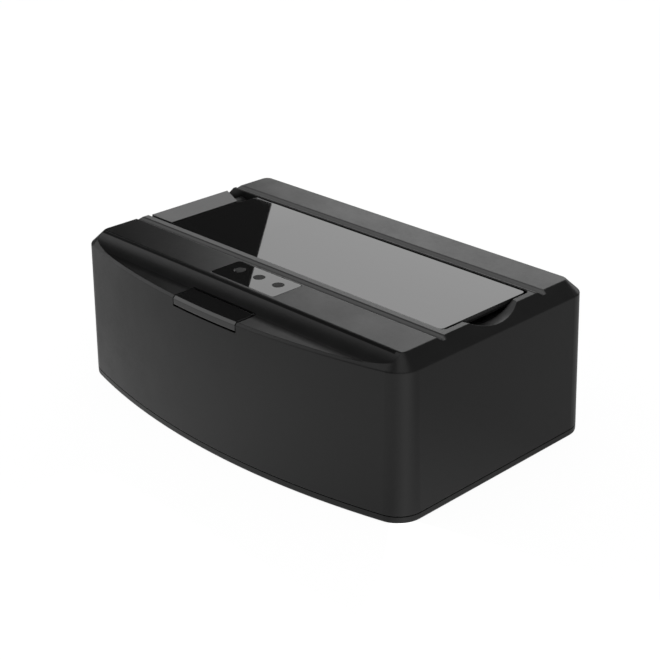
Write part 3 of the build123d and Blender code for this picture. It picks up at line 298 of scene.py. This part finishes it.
def moulded(name, level, roughness, grain=0.25 * MM, depth=0.004 * MM, wear=0.5, specular=0.5,
            satin_and_painted_light_stripes=(), painted_shade_stripes=(), highlight_share=None):
    """Moulded plastic with a fine spark-eroded grain, faint clouding and rubbed edges.

    A satin stripe is a level and the limits of its zone; on the groove slopes its level is painted
    highlight and shade.
    A painted shade stripe is the share of gloss that it keeps and its limits, and it darkens the colour
    too.
    The last argument, if given, makes the share of the notch's painted highlight.
    """
    look = Finish(name)
    cloud = look.noise(size=9 * MM, detail=3.0)
    cloud_share = look.spread(cloud, 0.0, 1.0)
    base = look.blend(cloud_share, grey(level * 0.93), grey(level * 1.07))
    rubbed = look.remap(look.noise(size=2.2 * MM, detail=4.0, rough=0.65), 0.35, 0.7, 0.0, wear)
    worn = look.product(look.edges(width=0.25 * MM), rubbed)
    colour = look.blend(worn, base, grey(level * 2.4))
    scuffs = look.noise(size=1.4 * MM, detail=4.0, rough=0.6)
    scuffed = look.spread(scuffs, roughness * 0.94, roughness * 1.06)
    rough = look.product(scuffed, look.spread(cloud, 0.92, 1.08))
    # Satin stripes: paler, rougher bands, which on the groove slopes are painted highlight and shade
    for stripe_level, *limits in satin_and_painted_light_stripes:
        inside = look.zone(*limits)
        stripe_colour = look.blend(cloud_share, grey(stripe_level * 0.97), grey(stripe_level * 1.03))
        colour = look.blend(inside, colour, stripe_colour)
        rough = look.maths("ADD", rough, look.product(inside, SATIN_ROUGHNESS - roughness))
    # Painted highlight on the finger notch's round wall
    if highlight_share:
        colour = look.blend(highlight_share(look), colour, grey(NOTCH_HIGHLIGHT_LEVEL))
    gloss = specular
    # Painted shade: each stripe darkens the colour and the gloss in its zone
    for kept_share, *limits in painted_shade_stripes:
        inside = look.zone(*limits)
        colour = look.blend(inside, colour, grey(level * (1 + kept_share) / 2))
        gloss = look.product(gloss, look.maths("SUBTRACT", 1.0, look.product(inside, 1 - kept_share)))
    relief = look.maths("ADD", look.cells(grain), look.noise(grain * 0.6, detail=3.0, rough=0.6))
    normal = look.bump(relief, depth, look.rounded(radius=0.25 * MM))
    look.set(Base_Color=colour, Roughness=rough, Normal=normal, IOR=PLASTIC_IOR, Specular_IOR_Level=gloss)
    return look.material


def polished(name, level, roughness, sheet=False):
    """Polished black plastic with hairline scratches, faint smears and dust.

    The lid's sheet has duller sawn edges too, and a painted reflection, its specular level rising towards
    its right end.
    """
    look = Finish(name)
    smears = look.noise(size=14 * MM, detail=4.0, rough=0.6)
    smeared = look.remap(smears, 0.35, 0.75, roughness, roughness * 1.8)
    hairs = look.noise(size=0.35 * MM, place=look.stretched((0.02, 1.0, 1.0)))
    rough = look.maths("ADD", smeared, look.remap(hairs, 0.62, 0.8, 0.0, roughness))
    dust = look.remap(look.cells(size=3.0 * MM), 0.02, 0.03, 1.0, 0.0)
    colour = look.blend(dust, grey(level), grey(level * 6))
    if sheet:
        steepness = look.maths("ABSOLUTE", look.along("Z", look.true_normal()))
        upright = look.maths("LESS_THAN", steepness, 0.5)
        colour = look.blend(upright, colour, grey(SAWN_LEVEL))
        rough = look.maths("MAXIMUM", rough, look.product(upright, SAWN_ROUGHNESS))
        # Painted reflection: the specular level rises along X
        look.set(Specular_IOR_Level=look.remap(look.along("X"), *SHEET_SPAN, *SHEET_PAINTED_REFLECTION))
    normal = look.bump(hairs, 0.0006 * MM, look.rounded(radius=0.2 * MM))
    look.set(Base_Color=colour, Roughness=rough, Normal=normal, IOR=PLASTIC_IOR)
    return look.material


def metal(name, colour, roughness):
    """Drawn or stamped metal with fine lines and slight tarnish."""
    look = Finish(name)
    tarnish = look.remap(look.noise(size=3 * MM, detail=4.0, rough=0.6), 0.4, 0.75, 0.0, 0.5)
    dull = (*(0.7 * value for value in colour), 1.0)
    lines = look.noise(size=0.2 * MM, place=look.stretched((1.0, 0.05, 1.0)))
    look.set(Base_Color=look.blend(tarnish, (*colour, 1.0), dull), Metallic=1.0,
             Roughness=look.spread(lines, roughness * 0.8, roughness * 1.25),
             Normal=look.bump(lines, 0.002 * MM))
    return look.material


def laminate(name):
    """Circuit board: solder mask over a faint pattern of tracks."""
    look = Finish(name)
    tracks = look.remap(look.cells(size=2.2 * MM, feature="DISTANCE_TO_EDGE"), 0.05, 0.08, 1.0, 0.0)
    mask = (0.008, 0.055, 0.022, 1.0)
    track = (0.014, 0.1, 0.04, 1.0)
    look.set(Base_Color=look.blend(tracks, mask, track), Normal=look.bump(tracks, 0.01 * MM),
             Roughness=look.spread(look.noise(size=0.8 * MM), 0.28, 0.4))
    return look.material


def frosted(name, level):
    """Frosted light guide."""
    look = Finish(name)
    haze = look.noise(size=0.9 * MM, detail=3.0)
    frost = look.noise(size=0.12 * MM)
    look.set(Base_Color=look.blend(haze, grey(level * 0.9), grey(level * 1.1)),
             Roughness=look.spread(haze, 0.5, 0.6), Normal=look.bump(frost, 0.003 * MM),
             Transmission_Weight=0.1, IOR=1.49, Specular_IOR_Level=0.14)
    return look.material


def beyond(edge, span):
    """The two places that a span gives from an edge."""
    return edge + span[0], edge + span[1]


# Stripes: a level or a share, the least height, the span along Y and, if it isn't whole, along X
front_border = (FRONT_BORDER_LEVEL, deck_z - SKIN, front_groove + GROOVE_WIDTH / 2, 0.0)
rear_border = (REAR_BORDER_LEVEL, deck_z - SKIN, 0.0, rear_groove)
groove_bottom = deck_z - GROOVE_DEPTH - 2 * SKIN
# Painted highlight and shade in bands across the groove slopes
painted_light_slopes = [(level, groove_bottom, *beyond(crease, span))
          for crease, slope in ((front_groove, FRONT_SLOPE), (rear_groove, REAR_SLOPE))
          for level, span in slope]
hinge_strip = (STRIP_LEVEL, strip_top - SKIN, cad_low.y, cad_high.y)
# Painted shade: dark lines on the rear groove's front slope, the recess's rear rim and the scoop's lip,
# and a darkened scoop floor
groove_front = (GROOVE_SHARE, groove_bottom, *beyond(rear_groove, GROOVE_SPAN))
recess_rim = (RIM_SHARE, deck_z - SKIN, *beyond(recess_rear, RECESS_RIM_SPAN))
scoop_lip = (LIP_SHARE, deck_z - LIP_DROP, *beyond(deck_front, LIP_SPAN), cad_low.x, deck_right - LIP_END)
scoop_bottom = deck_z - SCOOP_DEPTH
scoop_floor = (SCOOP_SHARE, scoop_bottom - THIN_SKIN, cad_low.y, opening_rear - SCOOP_START)
# The rim of the button's opening has a painted shadow line behind the button and to its right
rim_half_width = opening_right - RIM_CORNER
rear_rim = (RIM_SHARE, scoop_bottom - RIM_DROP, *beyond(opening_rear, REAR_RIM_SPAN),
            -rim_half_width, rim_half_width)
right_rim = (RIM_SHARE, scoop_bottom - RIM_DROP, cad_low.y, opening_rear + 2 * SKIN,
             *beyond(opening_right, RIGHT_RIM_SPAN))

finishes = {
    "housing_plastic": moulded(
        "matte_housing", 0.0045, 0.34, depth=0.002 * MM, specular=0.235,
        satin_and_painted_light_stripes=(front_border, rear_border, *painted_light_slopes),
        painted_shade_stripes=(groove_front, recess_rim, scoop_lip, scoop_floor, rear_rim, right_rim),
        highlight_share=painted_notch_highlight),
    "carrier_plastic": moulded(
        "lid_carrier_plastic", 0.009, 0.4, depth=0.002 * MM, specular=0.27, satin_and_painted_light_stripes=(hinge_strip,)),
    "gloss_black": polished("gloss_black", 0.004, 0.012),
    "inner_plastic": moulded("inner_plastic", 0.014, 0.45, depth=0.003 * MM),
    "lever_plastic": moulded("lever_plastic", 0.72, 0.35, depth=0.002 * MM, wear=0.0),
    "foot_rubber": moulded("foot_rubber", 0.02, 0.8, grain=0.4 * MM, depth=0.01 * MM, wear=0.0),
    "screw_steel": metal("screw_steel", (0.55, 0.54, 0.52), 0.3),
    "pin_steel": metal("pin_steel", (0.6, 0.6, 0.6), 0.22),
    "clear_plastic": frosted("light_guide_plastic", 0.012),
    "led_resin": moulded("led_resin", 0.7, 0.3, depth=0.001 * MM, wear=0.0),
    "board_laminate": laminate("board_laminate"),
    "contact_gold": metal("contact_gold", (0.83, 0.6, 0.26), 0.2),
    "chip_resin": moulded("chip_resin", 0.02, 0.6, grain=0.15 * MM, wear=0.0),
    "can_metal": metal("can_metal", (0.62, 0.62, 0.63), 0.28),
    "usb_plastic": moulded("usb_plastic", 0.03, 0.4, depth=0.001 * MM, wear=0.0),
}
for part in frame["record"]["subparts"]:
    mesh = nodes[part["node"]].data
    mesh.materials.clear()
    mesh.materials.append(finishes[part["material_slot"]])
nodes["lid_panel"].data.materials[0] = polished("lid_sheet", 0.004, 0.012, sheet=True)

# Camera, at the photograph's viewing angle
IMAGE_SIZE = 660
FOCAL_PIXELS = 1504.53
SENSOR_WIDTH = 36.0
YAW, PITCH, ROLL = radians(46.197), radians(24.755), radians(-0.877)
CAMERA_DISTANCE = 460.765 * MM
CAMERA_TARGET = Vector((4.568, 1.73, 26.0)) * MM
CLIP_START, CLIP_END = 0.01, 20.0
back = Vector((sin(YAW) * cos(PITCH), -cos(YAW) * cos(PITCH), sin(PITCH)))
right = Vector((cos(YAW), sin(YAW), 0))
up = back.cross(right)
turned_right = cos(ROLL) * right + sin(ROLL) * up
turned_up = -sin(ROLL) * right + cos(ROLL) * up
camera_place = CAMERA_TARGET + back * CAMERA_DISTANCE
camera = bpy.data.objects.new("camera", bpy.data.cameras.new("camera"))
scene.collection.objects.link(camera)
camera.data.sensor_width = SENSOR_WIDTH
camera.data.lens = FOCAL_PIXELS * SENSOR_WIDTH / IMAGE_SIZE
camera.data.clip_start = CLIP_START
camera.data.clip_end = CLIP_END
columns = Matrix((turned_right, turned_up, back)).transposed()
camera.matrix_world = Matrix.Translation(camera_place) @ columns.to_4x4()
scene.camera = camera
scene.view_settings.view_transform = "Standard"


def seen_directly(tree):
    """1 for camera, glossy and transmission rays, else 0."""
    path = tree.nodes.new("ShaderNodeLightPath")
    share = path.outputs["Is Camera Ray"]
    for other in ("Is Glossy Ray", "Is Transmission Ray"):
        larger = tree.nodes.new("ShaderNodeMath")
        larger.operation = "MAXIMUM"
        tree.links.new(share, larger.inputs[0])
        tree.links.new(path.outputs[other], larger.inputs[1])
        share = larger.outputs[0]
    return share


def staged(name, points, faces, material):
    """Part of the set, as a mesh."""
    mesh = bpy.data.meshes.new(name)
    mesh.from_pydata(points, [], faces)
    mesh.materials.append(material)
    made = bpy.data.objects.new(name, mesh)
    scene.collection.objects.link(made)
    return made


def softbox(name, centre, left_axis, up_axis, width, height, radiance):
    """Area light with its axes as the lit object sees them.

    Its face glows at radiance, where white paper is 1.
    """
    data = bpy.data.lights.new(name, "AREA")
    data.shape = "RECTANGLE"
    data.size = width
    data.size_y = height
    data.energy = radiance * pi * width * height
    light = bpy.data.objects.new(name, data)
    scene.collection.objects.link(light)
    turned = Matrix((left_axis, up_axis, left_axis.cross(up_axis))).transposed()
    light.matrix_world = Matrix.Translation(centre) @ turned.to_4x4()
    light.visible_camera = False


def direction(azimuth, elevation):
    """Unit vector at an azimuth from +X towards +Y and an elevation above the floor, in degrees."""
    turn, rise = radians(azimuth), radians(elevation)
    return Vector((cos(turn) * cos(rise), sin(turn) * cos(rise), sin(rise)))


def aimed_softbox(name, azimuth, elevation, width, height):
    """Softbox that faces the object from a direction."""
    facing = direction(azimuth, elevation)
    left_axis = Vector((0, 0, 1)).cross(facing).normalized()
    up_axis = facing.cross(left_axis)
    centre = middle + facing * SOFTBOX_DISTANCE
    softbox(name, centre, left_axis, up_axis, width, height, SOFTBOX_RADIANCE)


# World: even light for matt surfaces, and plain white where it is seen directly or in a mirror
EVEN_LIGHT = 0.95
world = bpy.data.worlds.new("studio")
scene.world = world
world.use_nodes = True
tree = world.node_tree
tree.nodes.clear()
mix = tree.nodes.new("ShaderNodeMixShader")
tree.links.new(seen_directly(tree), mix.inputs[0])
for slot, strength in ((1, EVEN_LIGHT), (2, 1.0)):
    background = tree.nodes.new("ShaderNodeBackground")
    background.inputs["Color"].default_value = grey(1.0)
    background.inputs["Strength"].default_value = strength
    tree.links.new(background.outputs[0], mix.inputs[slot])
out = tree.nodes.new("ShaderNodeOutputWorld")
tree.links.new(mix.outputs[0], out.inputs["Surface"])

# Dark tent over the set, less so to the right: polished faces mirror it, and no other ray meets it
TENT_REACH = 3.0
TENT_LEVEL = 0.02
TENT_RIGHT_LEVEL = 0.4
CORNERS = ((-1, -1), (1, -1), (1, 1), (-1, 1))
cloth = Finish("tent_cloth")
cloth_glow = cloth.node("ShaderNodeEmission")
cloth_level = cloth.remap(cloth.along("X"), 0.0, TENT_REACH, TENT_LEVEL, TENT_RIGHT_LEVEL)
cloth.link(cloth_level, cloth_glow.inputs["Strength"])
cloth.link(cloth_glow.outputs[0], cloth.output.inputs["Surface"])
tent_points = [(x * TENT_REACH, y * TENT_REACH, z * TENT_REACH) for z in (-1, 1) for x, y in CORNERS]
tent_sides = [(side, (side + 1) % 4, (side + 1) % 4 + 4, side + 4) for side in range(4)]
tent = staged("tent", tent_points, [*tent_sides, (4, 5, 6, 7)], cloth.material)
for kind in ("camera", "diffuse", "transmission", "shadow", "volume_scatter"):
    setattr(tent, "visible_" + kind, False)

# Rear card, whose left edge shows in the lid as a line between two points at the height of its top
EDGE_START = Vector((-45.0 * MM, 23.65 * MM, lid_high.z))
EDGE_END = Vector((3.5 * MM, -29.35 * MM, lid_high.z))
REAR_CARD_AZIMUTH, REAR_CARD_ELEVATION = 118.0, 15.0
REAR_CARD_DISTANCE = 1.0
REAR_CARD_WIDTH = 0.95
REAR_CARD_TOP = 0.75
REAR_CARD_RADIANCE = 1.7
middle = Vector((0, 0, deck_z))
mirrored_camera = camera_place.copy()
mirrored_camera.z = 2 * lid_high.z - camera_place.z
facing = direction(REAR_CARD_AZIMUTH, REAR_CARD_ELEVATION)
plane_point = middle + facing * REAR_CARD_DISTANCE


def on_card(point):
    """Where the mirrored line of sight through a point meets the card's plane."""
    sight = point - mirrored_camera
    return mirrored_camera + sight * ((plane_point - mirrored_camera).dot(facing) / sight.dot(facing))


edge_low, edge_high = on_card(EDGE_START), on_card(EDGE_END)
card_up = (edge_high - edge_low).normalized()
card_left = card_up.cross(facing).normalized()
to_top = (REAR_CARD_TOP - edge_low.z) / card_up.z
card_height = REAR_CARD_TOP / card_up.z


def card(name, to_left, above, width, height):
    """Softbox in the card's plane, its right side and its top this far from the edge's lower end."""
    centre = edge_low + card_left * (to_left + width / 2) + card_up * (above - height / 2)
    softbox(name, centre, card_left, card_up, width, height, REAR_CARD_RADIANCE)


# The card is lower in a narrow strip along its left edge, so that the button doesn't mirror it
EDGE_WIDTH, EDGE_TOP = 0.03, 0.1
card("rear_card", -REAR_CARD_WIDTH, to_top, REAR_CARD_WIDTH - EDGE_WIDTH, card_height)
card("rear_card_edge", -EDGE_WIDTH, EDGE_TOP, EDGE_WIDTH, card_height - to_top + EDGE_TOP)
# A low card beside it, under the part that shows in the lid, carries the rear band's light to its left end
LOW_CARD_WIDTH, LOW_CARD_HEIGHT = 0.07, 0.2
card("low_card", 0.0, 0.0, LOW_CARD_WIDTH, LOW_CARD_HEIGHT)

# The large box lights the front, and two small ones the bevel before the front right corner and round it
SOFTBOX_DISTANCE = 1.1
SOFTBOX_RADIANCE = 1.6
aimed_softbox("front_left_softbox", azimuth=213.5, elevation=24.0, width=1.1, height=0.98)
aimed_softbox("corner_softbox", azimuth=240.0, elevation=58.0, width=0.5, height=0.36)
aimed_softbox("overhead_softbox", azimuth=342.0, elevation=64.0, width=0.7, height=0.4)

# Floor of white paper. Mirrors show a painted glow on it, brighter in front than behind, and dimmer off to
# the left
FLOOR_REACH = 6.0
PAPER = 0.85
GLOW_SHARE = 0.96
PAPER_Y = (-80 * MM, 30 * MM)
PAPER_GLOW = (1.04, 0.5)
LEFT_X = (-10 * MM, -120 * MM)
LEFT_GLOW = (1.0, 0.65)
# They also show a painted pool of light in a sector off the front right corner, brightest along its middle
SECTOR_X, SECTOR_Y = 62 * MM, -32 * MM
SECTOR_AZIMUTH = radians(-14)
SECTOR_HALF = radians(42)
SECTOR_GAIN = 0.85
paper = Finish("floor_paper")
paper.set(Base_Color=grey(PAPER), Roughness=0.9, Specular_IOR_Level=0.0)
# Painted glow on the floor: a gradient, and a painted pool of light in the sector
mirrored = paper.product(paper.remap(paper.along("Y"), *PAPER_Y, *PAPER_GLOW),
                         paper.remap(paper.along("X"), *LEFT_X, *LEFT_GLOW))
off_x = paper.maths("SUBTRACT", paper.along("X"), SECTOR_X)
off_y = paper.maths("SUBTRACT", paper.along("Y"), SECTOR_Y)
off_middle = paper.maths("SUBTRACT", paper.maths("ARCTAN2", off_y, off_x), SECTOR_AZIMUTH)
gain = paper.remap(paper.maths("ABSOLUTE", off_middle), 0.0, SECTOR_HALF, SECTOR_GAIN, 0.0)
in_camera = paper.node("ShaderNodeLightPath").outputs["Is Camera Ray"]
paper_glow = paper.node("ShaderNodeEmission")
strength = paper.maths("MAXIMUM", in_camera, paper.maths("ADD", mirrored, gain))
paper.link(strength, paper_glow.inputs["Strength"])
share = paper.node("ShaderNodeMixShader")
paper.link(paper.product(seen_directly(paper.tree), GLOW_SHARE), share.inputs[0])
paper.link(paper.shader.outputs[0], share.inputs[1])
paper.link(paper_glow.outputs[0], share.inputs[2])
paper.link(share.outputs[0], paper.output.inputs["Surface"])
floor_points = [(x * FLOOR_REACH, y * FLOOR_REACH, 0) for x, y in CORNERS]
staged("floor", floor_points, [(0, 1, 2, 3)], paper.material)
